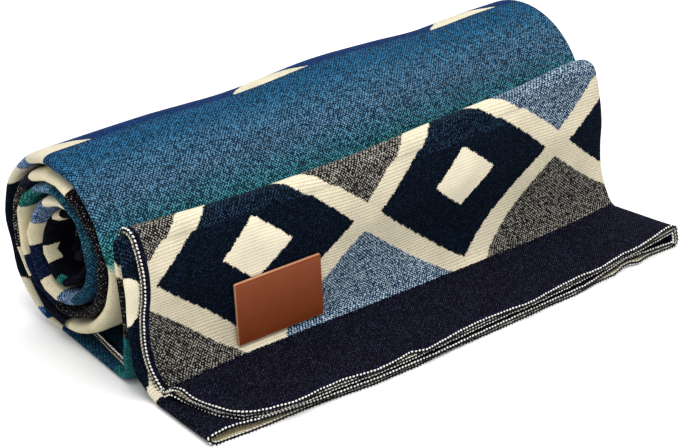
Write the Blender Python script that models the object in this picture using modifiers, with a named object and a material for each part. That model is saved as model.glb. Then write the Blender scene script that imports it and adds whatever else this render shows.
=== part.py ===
"""A wool blanket, folded in four across its width and rolled up, its free end laid in front as an S-fold.

The roll's axis lies along X, the free end faces -Y, and the surface it rests on is Z = 0. The blanket is one
sheet: a grid that follows the cloth round its folds, thickened with Solidify. Sizes are in metres. Places are
counted from a point on the roll's middle plane, and the finished pieces are then moved to the box's middle.
"""

import math

import bmesh
import bpy
import numpy as np

# Cloth and its folding in four
CLOTH = 0.0018           # thickness of the knitted wool
ROLL_LAYER = 0.0031      # from one layer to the next in the roll
HEM_LAYER = 0.0034       # the same at the hem, where the layers lie loosest
FACE_LAYER = 0.0025      # the same on the upright front of the free end
LAYERS = 4

# Free end, in front of the roll
HEM_FRONT = -0.205       # the hem's mean place along Y
FACE_FRONT = -0.1262     # front of the upright face at its left end
FLAP_TOP = 0.1215        # mean height of the fold at the top
HEM_BEND = 0.0085        # radii of the stack's middle line: where the hem turns up,
TOP_BEND = 0.0085        # over the top
FLOOR_BEND = 0.0115      # and where it turns under the roll
BACK_BULGE = 11          # degrees: how far the hanging back of the flap bows forward
FLAP_SKEW = 0.0125       # the flap stands this much further forward at its right end
FLAP_LEFT = -0.205       # free edges at the left
FLAP_RIGHT = 0.2105      # outer folded edge at the right, along the hem
FLAP_DRAWN_IN = 0.009    # the same edge stands this much further in at the top
CORNER = 0.066           # radius of the two free corners

# Roll
ROLL_HEIGHT = 0.140
ROLL_MIDDLE = -0.0295    # along Y
ROLL_PITCH = 0.0124      # from one turn to the next
ROLL_TURNS = 4.1
ROLL_RIGHT = 0.228
ROLL_LEFT = -0.209       # free edges at the left end of the roll
FOLD_PROUD = 0.011       # the soft fold at the left stands this much further out,
HEM_FOLD_PROUD = 0.0075  # and this much along the hem
FOLD_START = 0.002       # it rounds from this far outside the free edges,
FOLD_SWELL = 0.72        # and its radius is this share of a layer
STEPS_IN_TURN = 18

# Patch
PATCH_WIDTH = 0.072
PATCH_HEIGHT = 0.046
PATCH_THICK = 0.002
PATCH_LEFT = -0.1405
PATCH_BOTTOM = 0.0165
PATCH_ROUND = 0.0006     # bevel on its cut edges
FIT = 0.0004             # gap between the patch and the cloth

# How the hem wanders: place along X, hem of the top layer, hem of the bottom layer
HEM_LINE = (
    (-0.208, -0.199, -0.1985),
    (-0.143, -0.198, -0.2015),
    (-0.030, -0.203, -0.2060),
    (0.060, -0.209, -0.2065),
    (0.140, -0.207, -0.2105),
    (0.207, -0.197, -0.2035),
)

# Height of the flap's top fold: place along X, height over the mean
RIDGE_LINE = (
    (-0.205, 0.0020),
    (-0.100, -0.0035),
    (-0.040, -0.0030),
    (0.060, 0.0025),
    (0.130, 0.0060),
    (0.190, 0.0085),
    (0.211, 0.0050),
)

# How far the roll's left end stands out, by turn from the outside: turns wound, place over ROLL_LEFT
END_LINE = (
    (0.00, 0.0100),
    (0.12, 0.0015),
    (0.25, 0.0005),
    (0.50, 0.0010),
    (1.00, 0.0020),
    (1.60, 0.0030),
    (2.40, 0.0050),
    (3.20, 0.0100),
    (4.20, 0.0150),
)

# Columns of the grid: places along a layer, as shares of its length from the left, and near a free corner as
# distances from the free edge
LAYER_STATIONS = (0.30, 0.55, 0.80)
FOLD_STATION = 0.10
CORNER_STATIONS = (0.0, 0.005, 0.020, 0.046)


def material(name, colour, roughness):
    made = bpy.data.materials.new(name)
    made.use_nodes = True
    shader = made.node_tree.nodes["Principled BSDF"]
    shader.inputs["Base Color"].default_value = (*colour, 1.0)
    shader.inputs["Roughness"].default_value = roughness
    made.diffuse_color = (*colour, 1.0)
    return made


def read_line(line, at, column=1):
    """Straight-line reading of a short table at one place."""
    return float(np.interp(at, [row[0] for row in line], [row[column] for row in line]))


def ease(low, high, value):
    """0 below low, 1 above high, and smooth between."""
    share = min(max((value - low) / (high - low), 0.0), 1.0)
    return share * share * (3 - 2 * share)


def half_stack(layer):
    return (LAYERS - 1) / 2 * layer + CLOTH / 2


# Middle line of the four layers


class Row:
    """One crosswise row of the grid: a place on the stack's middle line."""

    def __init__(self, y, z, layer, turns, hem, flap):
        self.y = y
        self.z = z
        self.layer = layer    # from one layer to the next
        self.turns = turns    # turns wound since the roll began
        self.hem = hem        # 1 at the hem, 0 where it turns up
        self.flap = flap      # 1 on the flap, 0 in the roll
        self.across = None    # unit normal of the stack, towards the top layer


class MiddleLine:
    """Walks along the stack, from the hem to the roll's core, and keeps the rows it passes."""

    def __init__(self, y, z, layer):
        self.y = y
        self.z = z
        self.heading = 0.0
        self.layer = layer
        self.rows = [Row(y, z, layer, 0.0, 1.0, 1.0)]

    def straight(self, length, steps, layer, hem=(0.0, 0.0), flap=(1.0, 1.0)):
        start_y, start_z, start_layer = self.y, self.z, self.layer
        for step in range(1, steps + 1):
            share = step / steps
            self.y = start_y + length * share * math.cos(self.heading)
            self.z = start_z + length * share * math.sin(self.heading)
            self.keep(start_layer, layer, share, hem, flap)
        self.layer = layer

    def bend(self, radius, degrees, steps, layer):
        """Turns up where degrees is above 0, and over and down where it is below."""
        start_y, start_z = self.y, self.z
        start, start_layer = self.heading, self.layer
        radius = math.copysign(radius, degrees)
        for step in range(1, steps + 1):
            share = step / steps
            self.heading = start + math.radians(degrees) * share
            self.y = start_y + radius * (math.sin(self.heading) - math.sin(start))
            self.z = start_z - radius * (math.cos(self.heading) - math.cos(start))
            self.keep(start_layer, layer, share, (0.0, 0.0), (1.0, 1.0))
        self.layer = layer

    def keep(self, start_layer, end_layer, share, hem, flap):
        layer = start_layer + (end_layer - start_layer) * share
        lying = hem[0] + (hem[1] - hem[0]) * share
        on_flap = flap[0] + (flap[1] - flap[0]) * share
        self.rows.append(Row(self.y, self.z, layer, 0.0, lying, on_flap))

    def wind(self, start_radius, turns):
        """A spiral from the floor under the roll, up the back, over the top and inwards."""
        middle_z = self.z + start_radius
        steps = round(turns * STEPS_IN_TURN)
        for step in range(1, steps + 1):
            wound = step / STEPS_IN_TURN
            angle = 2 * math.pi * wound - math.pi / 2
            radius = start_radius - ROLL_PITCH * wound
            self.y = ROLL_MIDDLE + radius * math.cos(angle)
            self.z = middle_z + radius * math.sin(angle)
            self.rows.append(Row(self.y, self.z, ROLL_LAYER, wound, 0.0, 0.0))


def middle_line():
    face = FACE_FRONT + half_stack(FACE_LAYER)
    hem_height = half_stack(HEM_LAYER)
    line = MiddleLine(HEM_FRONT, hem_height, HEM_LAYER)
    line.straight(face - HEM_BEND - HEM_FRONT, 4, HEM_LAYER, hem=(1.0, 0.0))
    line.bend(HEM_BEND, 90, 4, FACE_LAYER)
    fold_height = FLAP_TOP - TOP_BEND - half_stack(ROLL_LAYER)
    line.straight(fold_height - line.z, 4, FACE_LAYER)
    line.bend(TOP_BEND, -180 - BACK_BULGE, 7, ROLL_LAYER)
    lean = math.radians(BACK_BULGE)
    floor_height = half_stack(ROLL_LAYER)
    drop = line.z - floor_height - FLOOR_BEND * (1 - math.sin(lean))
    line.bend(drop / (2 * math.sin(lean)), 2 * BACK_BULGE, 4, ROLL_LAYER)
    line.bend(FLOOR_BEND, 90 - BACK_BULGE, 4, ROLL_LAYER)
    line.straight(ROLL_MIDDLE - line.y, 3, ROLL_LAYER, flap=(1.0, 0.0))
    start_radius = (ROLL_HEIGHT + ROLL_PITCH / 2) / 2 - floor_height
    line.wind(start_radius, ROLL_TURNS)
    return line.rows


def set_normals(rows):
    for index, row in enumerate(rows):
        before = rows[max(index - 1, 0)]
        after = rows[min(index + 1, len(rows) - 1)]
        along = np.array((after.y - before.y, after.z - before.z))
        along /= np.linalg.norm(along)
        row.across = np.array((-along[1], along[0]))


# Columns across the width


def fold_columns(steps):
    """Half-circle steps strictly inside a fold, as (cosine, sine)."""
    angles = [math.pi * step / steps for step in range(1, steps)]
    return [(math.cos(angle), math.sin(angle)) for angle in angles]


def sheet_columns():
    """(kind, value, value) for each column, along the cloth from the top layer's free edge to the second's.

    "layer" holds the layer's place in the stack and its share of the way to the right, "corner" the layer's
    place and the distance from its free edge, "right" and "left" a step round a fold.
    """
    top, second, third, bottom = 1.5, 0.5, -0.5, -1.5
    columns = [("corner", top, gap) for gap in CORNER_STATIONS]
    columns += [("layer", top, share) for share in (*LAYER_STATIONS, 1.0)]
    columns += [("right", top * cos, top * sin) for cos, sin in fold_columns(6)]
    columns += [("layer", bottom, share) for share in (1.0, *reversed(LAYER_STATIONS), FOLD_STATION)]
    columns += [("left", cos, sin) for cos, sin in fold_columns(5)]
    columns += [("layer", third, share) for share in (FOLD_STATION, *LAYER_STATIONS, 1.0)]
    columns += [("right", -second * cos, second * sin) for cos, sin in fold_columns(4)]
    columns += [("layer", second, share) for share in (1.0, *reversed(LAYER_STATIONS))]
    columns += [("corner", second, gap) for gap in reversed(CORNER_STATIONS)]
    return columns


def edges_at(row):
    """Places along X of the free edges, the soft fold at the left, and the right end of the flat layers."""
    roll_left = ROLL_LEFT + read_line(END_LINE, row.turns)
    left = row.flap * FLAP_LEFT + (1 - row.flap) * roll_left
    flap_right = FLAP_RIGHT - FLAP_DRAWN_IN * ease(0.0, FLAP_TOP, row.z)
    right = row.flap * flap_right + (1 - row.flap) * ROLL_RIGHT
    proud = row.hem * HEM_FOLD_PROUD + (1 - row.hem) * FOLD_PROUD
    return left, left - proud, right - half_stack(row.layer)


def column_place(column, row):
    """Place along X and across the stack, in layers, of one column on one row."""
    kind, first, second = column
    left, fold, right = edges_at(row)
    if kind == "corner":
        return left + second, first
    if kind == "layer":
        return left + (right - left) * second, first
    if kind == "right":
        return right + second * row.layer, first
    # The soft fold puffs up towards the recessed free edges of the two upper layers.
    start = left - FOLD_START
    return start - (start - fold) * second, -1.5 + FOLD_SWELL - FOLD_SWELL * first


def corner_pull(column):
    """How far the hem draws back at a free corner's rounding."""
    kind, _, gap = column
    if kind != "corner":
        return 0.0
    inside = CORNER - gap
    return CORNER - math.sqrt(CORNER**2 - inside**2)


def hem_shift(x, across):
    top = read_line(HEM_LINE, x, 1)
    bottom = read_line(HEM_LINE, x, 2)
    share = (across + 1.5) / 3
    return bottom + (top - bottom) * share - HEM_FRONT


def point(column, row):
    x, across = column_place(column, row)
    offset = across * row.layer
    y = row.y + row.across[0] * offset
    z = row.z + row.across[1] * offset
    if row.hem > 0:
        y += row.hem * (hem_shift(x, across) + corner_pull(column))
    # The flap stands skewed, and its top fold rises and falls.
    to_right = (x - FLAP_LEFT) / (FLAP_RIGHT - FLAP_LEFT)
    y -= row.flap * (1 - row.hem) * ease(0.06, 0.115, -y) * FLAP_SKEW * to_right
    z += row.flap * ease(0.010, FLAP_TOP, z) * read_line(RIDGE_LINE, x)
    return x, y, z


def shift_to_origin(objects):
    """Puts the origin at the middle of the whole object's box, on the surface it rests on."""
    bpy.context.view_layer.update()
    graph = bpy.context.evaluated_depsgraph_get()
    corners = [
        obj.matrix_world @ vertex.co
        for obj in objects
        for vertex in obj.evaluated_get(graph).data.vertices
    ]
    low = [min(corner[axis] for corner in corners) for axis in range(3)]
    high = [max(corner[axis] for corner in corners) for axis in range(3)]
    shift = (-(low[0] + high[0]) / 2, -(low[1] + high[1]) / 2, -low[2])
    for obj in objects:
        obj.location = [place + move for place, move in zip(obj.location, shift)]


def make_blanket(collection):
    rows = middle_line()
    set_normals(rows)
    columns = sheet_columns()
    mesh = bpy.data.meshes.new("blanket")
    grid = bmesh.new()
    bmesh.ops.create_grid(grid, x_segments=len(columns) - 1, y_segments=len(rows) - 1, size=1.0)
    grid.verts.ensure_lookup_table()
    for index, vertex in enumerate(grid.verts):
        row, column = divmod(index, len(columns))
        vertex.co = point(columns[column], rows[row])
    grid.to_mesh(mesh)
    grid.free()
    blanket = bpy.data.objects.new("blanket", mesh)
    collection.objects.link(blanket)
    shell = blanket.modifiers.new("cloth", "SOLIDIFY")
    shell.thickness = CLOTH
    shell.offset = 0.0
    mesh.shade_smooth()
    mesh.materials.append(material("navy_wool", (0.05, 0.07, 0.12), 0.95))
    return blanket


def make_patch(collection):
    mesh = bpy.data.meshes.new("leather_patch")
    shape = bmesh.new()
    bmesh.ops.create_cube(shape, size=1.0)
    bmesh.ops.scale(shape, vec=(PATCH_WIDTH, PATCH_THICK, PATCH_HEIGHT), verts=shape.verts)
    shape.to_mesh(mesh)
    shape.free()
    patch = bpy.data.objects.new("leather_patch", mesh)
    collection.objects.link(patch)
    slope = FLAP_SKEW / (FLAP_RIGHT - FLAP_LEFT)
    middle = PATCH_LEFT + PATCH_WIDTH / 2
    front = FACE_FRONT - slope * (middle - FLAP_LEFT)
    patch.rotation_euler[2] = -math.atan(slope)
    patch.location = (middle, front - FIT - PATCH_THICK / 2, PATCH_BOTTOM + PATCH_HEIGHT / 2)
    edge = patch.modifiers.new("cut edge", "BEVEL")
    edge.width = PATCH_ROUND
    edge.segments = 2
    mesh.shade_smooth()
    mesh.set_sharp_from_angle(angle=math.radians(35))
    mesh.materials.append(material("saddle_leather", (0.25, 0.07, 0.02), 0.5))
    return patch


def main():
    for obj in list(bpy.data.objects):
        bpy.data.objects.remove(obj)
    collection = bpy.data.collections.new("rolled_wool_blanket")
    bpy.context.scene.collection.children.link(collection)
    shift_to_origin([make_blanket(collection), make_patch(collection)])


main()
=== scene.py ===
"""Looks of a rolled wool blanket: knitted cloth, overlocked edges, a leather patch, and a small studio.

Places are counted as in the CAD source, from a point on the roll's middle plane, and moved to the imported
frame at the end. X runs along the roll, the free end of the blanket faces -Y, and it lies on Z = 0.
"""

import functools
import math

import bpy
import numpy as np
from bpy.props import FloatProperty, FloatVectorProperty, IntProperty, PointerProperty
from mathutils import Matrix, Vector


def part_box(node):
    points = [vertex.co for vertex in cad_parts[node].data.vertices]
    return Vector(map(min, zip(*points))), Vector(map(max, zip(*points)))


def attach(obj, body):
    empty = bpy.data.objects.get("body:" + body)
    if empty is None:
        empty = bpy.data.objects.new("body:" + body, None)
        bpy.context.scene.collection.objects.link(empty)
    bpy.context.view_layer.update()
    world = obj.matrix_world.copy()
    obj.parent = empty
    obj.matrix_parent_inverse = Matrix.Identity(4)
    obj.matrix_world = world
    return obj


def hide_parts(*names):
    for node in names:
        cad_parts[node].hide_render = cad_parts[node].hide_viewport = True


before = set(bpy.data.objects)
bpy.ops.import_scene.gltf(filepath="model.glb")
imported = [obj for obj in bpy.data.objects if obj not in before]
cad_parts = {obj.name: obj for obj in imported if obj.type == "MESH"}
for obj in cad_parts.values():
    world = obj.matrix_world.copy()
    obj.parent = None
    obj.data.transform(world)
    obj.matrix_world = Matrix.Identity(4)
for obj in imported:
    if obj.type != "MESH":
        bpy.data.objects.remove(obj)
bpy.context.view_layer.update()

bl_info = {
    "name": "Rolled wool blanket",
    "version": (1, 0, 0),
    "blender": (4, 5, 0),
    "location": "3D View > Sidebar > Blanket",
    "description": "Makes a rolled, folded wool blanket with overlocked edges and a leather patch",
    "category": "Add Mesh",
}

TO_FRAME = (-0.004118, 0.084913, 0.0)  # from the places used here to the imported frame

# Camera, fitted to the photo
PHOTO_WIDE = 679         # pixels
FOCAL_LENGTH = 2000      # in the photo's pixels
SENSOR_WIDE = 36.0       # millimetres
CAMERA_TURN = -39.4      # degrees
CAMERA_ABOVE = 28.2
CAMERA_PLACE = (-0.82236, -1.0704, 0.73134)

# Studio
FLOOR_HALF = 6
ROOM_LIGHT = 0.76
# Name, place, what it is aimed at, width, power as a share of the key light's
LIGHTS = (
    ("key_light", (-0.25, -0.35, 1.6), (0.0, 0.0, 0.0), 1.3, 1.0),
    ("rim_light", (0.9, 0.9, 1.1), (0.0, 0.0, 0.05), 0.9, 0.45),
)

# Folding: the CAD source's folds, with the layers a little closer
HEM_LAYER = 0.0030       # from one layer to the next at the hem
FACE_LAYER = 0.0025      # on the upright front of the free end
ROLL_LAYER = 0.0028      # in the roll
HEM_FRONT = -0.205
FACE_FRONT = -0.1262
FLAP_TOP = 0.1190
HEM_BEND = 0.0085
TOP_BEND = 0.0085
FLOOR_BEND = 0.0115
BACK_BULGE = 11
FLAP_SKEW = 0.0125
FLAP_LEFT = -0.205
FLAP_RIGHT = 0.2105
FLAP_DRAWN_IN = 0.009
ROLL_HEIGHT = 0.140
ROLL_MIDDLE = -0.0295
ROLL_PITCH = 0.0110
ROLL_TURNS = 5.2
ROLL_RIGHT = 0.228
ROLL_LEFT = -0.209
FOLD_PROUD = 0.011
FOLD_START = 0.002
FOLD_SWELL = 0.84        # the left fold's half height in layers, on the flap
ROLL_SWELL = 1.20        # and in the roll
HEM_RIGHT_OUT = 0.0095   # the hem's right loop stands this much further right
EDGE_INSET = 0.0130      # the free edges lie this much inside the roll's left end
SECOND_OUT = 0.0012      # the second layer's free edge stands this much further left on the flap
LAYER_PLACES = (1.5, 0.5, -0.5, -1.5)  # across the stack, in layers
FAR = 1.0                # distance given to what has no free edge near it

# Rows of the sheet on each stretch of the stack
HEM_STEPS = 19
CREASE_STEPS = 7
FACE_STEPS = 17
TOP_STEPS = 15
BACK_STEPS = 8
FLOOR_STEPS = 7
UNDER_STEPS = 6
FIRST_TURN_STEPS = 58
INNER_STEPS = 84

# Where the flap's forms begin and end
SKEW_DEPTH = (0.060, 0.115)         # along -Y: the skew dies out towards the roll
PATCH_START = (-0.165, -0.132)      # along X: from the soft front to the part behind the patch
PATCH_END = (-0.066, -0.030)
PILE_HEIGHT = (0.012, 0.060)        # the puffed pile dies out upwards
RIDGE_START = 0.010                 # the top fold's unevenness starts at this height
PULL_END = 0.115                    # along the cloth: from here on the pattern is pulled in full

# Where the roll's forms begin and end, in turns wound
OUT_OF_ROUND = (0.15, 0.35)
ROUND_AGAIN = (0.62, 0.72)
INNER_CRUMPLE = (1.05, 2.6)
CORE_CRUMPLE = (2.7, 3.5)
INSET_START = (0.05, 0.25)          # the free edges draw in
CRUMPLE_REACH = 0.12                # how far the crumples reach in from the left end

# The lower layers have slipped: from where across the cloth, over what width, how far along and across
SLIP_FROM = 0.43
SLIP_OVER = 0.40
SLIP_ALONG = 0.003
SLIP_ACROSS = 0.012

# Where the hem of each layer lies along Y, by place along X: first layer on top
HEM_LINE = (
    (-0.2120, -0.1990, -0.1990, -0.1970, -0.1985),
    (-0.1980, -0.1995, -0.1990, -0.1955, -0.1996),
    (-0.1840, -0.2000, -0.1995, -0.1994, -0.2012),
    (-0.1680, -0.2021, -0.2010, -0.2024, -0.2022),
    (-0.1450, -0.2062, -0.2045, -0.2034, -0.2029),
    (-0.1250, -0.2047, -0.2055, -0.2052, -0.2042),
    (-0.1060, -0.2050, -0.2060, -0.2048, -0.2064),
    (-0.1010, -0.2060, -0.2075, -0.2092, -0.2070),
    (-0.0800, -0.2095, -0.2085, -0.2096, -0.2092),
    (-0.0580, -0.2082, -0.2090, -0.2092, -0.2095),
    (-0.0470, -0.2065, -0.2095, -0.2108, -0.2102),
    (-0.0430, -0.2116, -0.2105, -0.2114, -0.2100),
    (-0.0180, -0.2092, -0.2085, -0.2102, -0.2082),
    (0.0120, -0.2071, -0.2080, -0.2100, -0.2096),
    (0.0400, -0.2087, -0.2080, -0.2092, -0.2100),
    (0.0600, -0.2110, -0.2090, -0.2102, -0.2099),
    (0.0820, -0.2090, -0.2092, -0.2086, -0.2097),
    (0.1040, -0.2078, -0.2080, -0.2068, -0.2105),
    (0.1100, -0.2077, -0.2075, -0.2116, -0.2100),
    (0.1320, -0.2088, -0.2068, -0.2056, -0.2078),
    (0.1460, -0.2070, -0.2060, -0.2062, -0.2082),
    (0.1640, -0.2055, -0.2050, -0.2030, -0.2050),
    (0.1710, -0.2064, -0.2055, -0.2062, -0.2084),
    (0.1880, -0.2056, -0.2048, -0.2050, -0.2048),
    (0.2100, -0.2036, -0.2040, -0.2060, -0.2060),
)
# How far the same edges lift off the layer below
HEM_LIFT = (
    (-0.2120, 0.0008, 0.0010, 0.0020, 0.0000),
    (-0.1960, 0.0022, 0.0020, 0.0014, 0.0000),
    (-0.1700, 0.0016, 0.0022, 0.0000, 0.0000),
    (-0.0600, 0.0004, 0.0014, -0.0004, 0.0000),
    (0.0400, 0.0006, 0.0016, -0.0005, 0.0000),
    (0.1150, 0.0012, 0.0022, -0.0004, 0.0000),
    (0.1330, 0.0014, 0.0022, 0.0010, 0.0000),
    (0.1500, 0.0018, 0.0026, 0.0006, 0.0002),
    (0.1660, 0.0024, 0.0030, 0.0014, 0.0022),
    (0.1800, 0.0034, 0.0036, 0.0006, 0.0008),
    (0.1950, 0.0050, 0.0048, 0.0000, 0.0000),
    (0.2100, 0.0064, 0.0060, -0.0004, 0.0000),
    (0.2250, 0.0064, 0.0060, -0.0004, 0.0000),
)
# How the two free corners round off: distance from the free edge, how far the hem draws back
CORNER_LINE = (
    (0.0000, 0.0640),
    (0.0010, 0.0560),
    (0.0028, 0.0480),
    (0.0058, 0.0375),
    (0.0095, 0.0262),
    (0.0140, 0.0150),
    (0.0180, 0.0085),
    (0.0250, 0.0030),
    (0.0370, 0.0000),
)
# The free corners' buckle: how far it reaches from the edge and up, then place along Y, width, height
CORNER_REACH = 0.075
CORNER_HEIGHTS = (0.018, 0.030)
CORNER_WAVES = (
    (-0.1505, 0.0085, 0.0052),
    (-0.1370, 0.0050, -0.0026),
)
# The flap's left side: height, shift of the free edges along X, how far the lower layers' fold stands out
FLAP_SIDE_LINE = (
    (0.0000, 0.0000, 0.0060),
    (0.0120, -0.0024, 0.0088),
    (0.0220, -0.0042, 0.0120),
    (0.0350, -0.0050, 0.0112),
    (0.0550, -0.0050, 0.0122),
    (0.0900, -0.0034, 0.0138),
    (0.1100, -0.0045, 0.0125),
    (0.1220, -0.0055, 0.0115),
)
# The flap's face: height, how far it stands forward, and the same behind the stiff patch
FOOT_LINE = (
    (0.0060, 0.0088, 0.0088),
    (0.0145, 0.0050, 0.0026),
    (0.0200, 0.0022, 0.0020),
    (0.0300, -0.0012, 0.0011),
    (0.0450, -0.0034, -0.0002),
    (0.0600, -0.0030, -0.0014),
    (0.0750, -0.0014, -0.0016),
    (0.0850, -0.0020, -0.0020),
    (0.0950, -0.0038, -0.0038),
    (0.1050, -0.0060, -0.0060),
    (0.1120, -0.0078, -0.0078),
)
# How the pattern is pulled on the upright front: place along X, how far up, how far right
PULL_LINE = (
    (-0.2050, 0.0044, 0.0013),
    (-0.1200, 0.0050, 0.0034),
    (-0.0300, -0.0012, 0.0060),
    (0.0400, 0.0012, 0.0052),
    (0.0950, 0.0030, 0.0040),
    (0.1500, 0.0024, 0.0042),
    (0.2100, 0.0012, 0.0050),
)
# How far the pile under the flap puffs up, by place along X
PUFF_LINE = (
    (-0.2100, 0.0000),
    (0.1200, 0.0000),
    (0.1750, 0.0024),
    (0.2100, 0.0058),
)
# How far the outer turn stands out of round on the top of the roll, by place along X
ROLL_LINE = (
    (-0.2100, 0.0000),
    (-0.1200, 0.0008),
    (-0.0500, -0.0012),
    (0.0350, 0.0026),
    (0.0900, 0.0008),
    (0.1350, -0.0016),
    (0.1900, 0.0000),
    (0.2300, 0.0000),
)
# Height of the flap's top fold over its mean, by place along X
RIDGE_LINE = (
    (-0.2050, 0.0012),
    (-0.1000, -0.0035),
    (-0.0400, -0.0030),
    (0.0600, 0.0025),
    (0.1300, 0.0060),
    (0.1900, 0.0118),
    (0.2110, 0.0085),
)
# The roll's left end: turns wound, how far the fold stands inside ROLL_LEFT, its swell over ROLL_SWELL
END_LINE = (
    (0.00, 0.0100, -0.30),
    (0.12, 0.0050, -0.10),
    (0.25, 0.0045, 0.00),
    (0.38, 0.0060, 0.00),
    (0.50, 0.0070, 0.04),
    (0.75, 0.0068, 0.15),
    (0.95, 0.0045, 0.15),
    (1.10, 0.0050, -0.45),
    (1.30, 0.0040, -0.35),
    (1.48, 0.0058, 0.25),
    (1.75, 0.0062, 0.10),
    (2.00, 0.0040, -0.15),
    (2.15, 0.0020, -0.55),
    (2.30, 0.0015, -0.50),
    (2.48, 0.0065, 0.00),
    (2.75, 0.0045, 0.00),
    (2.98, 0.0010, 0.10),
    (3.10, 0.0020, 0.05),
    (3.28, 0.0040, 0.05),
    (3.48, 0.0080, 0.00),
    (3.70, 0.0200, 0.00),
    (3.98, 0.0060, -0.30),
    (4.20, 0.0100, 0.10),
    (4.50, 0.0240, 0.00),
    (4.75, 0.0150, 0.10),
    (5.20, 0.0300, 0.00),
)

# Small steps of the turns' left ends: size, waves, phase
UNEVEN_ENDS = (
    (0.0007, 34.0, 1.0),
    (0.0005, 71.0, 0.0),
)
# Crumples of the roll's left end: height, waves in a turn, phase
ROLL_WAVES = (
    (0.0006, 3.0, 0.6),
    (0.0014, 1.7, 1.3),
    (0.0022, 2.6, 0.4),
)
CORE_BACK = 0.0050       # the core lies this much further back

# Knitted pattern, along the cloth from the hem and across it from the first free edge
END_BAND = 0.0697        # plain band along the hem
LATTICE_MIDDLE = 0.1400
LATTICE_END = 0.2120
DIAMOND_PERIOD = 0.1826
WHOLE_PERIODS = 8        # added, so that every place counted from the first diamond is above 0
DIAMOND_FIRST = 0.0868   # middle of the first diamond
DIAMOND_ACROSS = 0.0795  # half a diamond
DIAMOND_ALONG = 0.0642
LATTICE_OUT = 1.305      # outer edge of the light lattice, in diamonds
SQUARE_ACROSS = 0.0280
SQUARE_ALONG = 0.0226
TOP_MARL = 0.166         # from here on the navy shows more of its second yarn
CORE_TURNS = 3.545       # from here inwards the cloth is painted near-black, painted shade of the deep core, but for a strip across it where the bands still show
CORE_LIGHT = (0.80, 0.858)
BACK_FOLD = 0.1120       # before the roll's start: the teal band behind the flap begins
TEAL_BAND = 0.052
UNDER_END = 0.012        # turns wound where the cloth under the roll ends
SECOND_MIDDLE = 0.2405   # turns wound
SECOND_CROSSING = 0.4443
SECOND_ALONG = 0.0780
SECOND_LATTICE_OUT = 1.30
SECOND_REACH = 0.0740    # from its middle to the border row of triangles
BORDER_REACH = 0.0905
TRIANGLE_FIRST = 0.4790
TRIANGLE_HALF = 0.0330   # half the base of a border triangle
TRIANGLE_SLANT = 1.15    # its side: along X for each metre of height
TRIANGLE_BELOW = 0.008   # it starts this far inside the lattice
STITCH_WIDE = 0.0012
STITCH_TALL = 0.00115
HAIR = 0.0005
FRAYED = 0.0009
EDGE_BAND = 0.0048

# Surface of the knit
SECOND_YARN = (0.00085, 0.00100, 1.0)  # cells in which the second yarn comes through
BIRDS_EYE = (0.0024, 0.0023)           # pitch of the two yarns' bird's-eye, across and along
COURSE = 0.0023                        # from one painted shade line, in the groove between courses, to the next
COURSE_LINE = 0.0006                   # half the width of that line, with its soft edge

# Overlock stitches: thicknesses in thread thicknesses
NEEDLE_LENGTH = 0.0025
NEEDLE_THICK = 1.2
NEEDLE_REACH = 0.00105   # from the cloth's middle surface
WRAP_THICK = 0.48
WRAP_REACH = 0.00112
WRAP_BACK = 0.0007       # the wrap's centre lies this much inside the edge
WRAP_ARC = 210           # degrees

# Leather patch
PATCH_HEIGHTS = (0.0165, 0.0625)  # its lower and upper edge
PATCH_SUNK = 0.0002      # its back lies this much inside the CAD face
CORNER_STEPS = 5

# Pairs of yarns: the darker, the lighter, share of the lighter
YARNS = {
    "cream": ("#c1b796", "#ded4ba", 0.80),
    "square_cream": ("#d6ccac", "#ece2c8", 0.94),
    "navy": ("#030914", "#1c3048", 0.24),
    "navy_at_top": ("#030914", "#2c4660", 0.30),
    "grey": ("#131313", "#a7a298", 0.36),
    "blue": ("#14324f", "#b4c6d2", 0.40),
    "slate": ("#152c43", "#9fb3c3", 0.40),
    "end_band": ("#060611", "#363850", 0.24),
    "edge": ("#080918", "#34365c", 0.20),
    "flap_back": ("#0b0c12", "#8a8270", 0.24),
    "back_teal": ("#0b3a3d", "#2c7373", 0.40),
    "under_roll": ("#0b2236", "#255a74", 0.35),
    # the roll's deep core: painted shade, near-black yarns laid where the core lies in shadow
    "core_painted_shade": ("#06080f", "#20263a", 0.15),
    "border": ("#041d45", "#12457e", 0.30),
    "back_blue": ("#2b466c", "#8198ba", 0.45),
    "back_dark_blue": ("#1d3560", "#5a74a4", 0.40),
    "back_cream": ("#a9a187", "#cbc3ab", 0.80),
    "back_navy": ("#030914", "#1c3048", 0.16),
    "triangle_cream": ("#a9a187", "#cbc3ab", 0.85),
    "reverse_cream": ("#a3987a", "#cfc5a6", 0.60),
}

# Bands of the roll's outer turn: turns wound, the darker yarn, the lighter yarn, share of the lighter
OUTER_BANDS = (
    (0.460, "#051637", "#17407b", 0.29),
    (0.474, "#082034", "#265f87", 0.41),
    (0.515, "#082134", "#28678f", 0.41),
    (0.560, "#102437", "#477b9b", 0.41),
    (0.610, "#132635", "#5e86a5", 0.39),
    (0.655, "#112835", "#5194ac", 0.39),
    (0.690, "#0c3134", "#4ca6a8", 0.41),
    (0.722, "#093937", "#45ab9f", 0.44),
    (0.727, "#9d9478", "#d2c8a8", 0.85),
    (0.985, "#9d9478", "#d2c8a8", 0.85),
    (0.992, "#0a0d18", "#34343c", 0.18),
)
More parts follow.
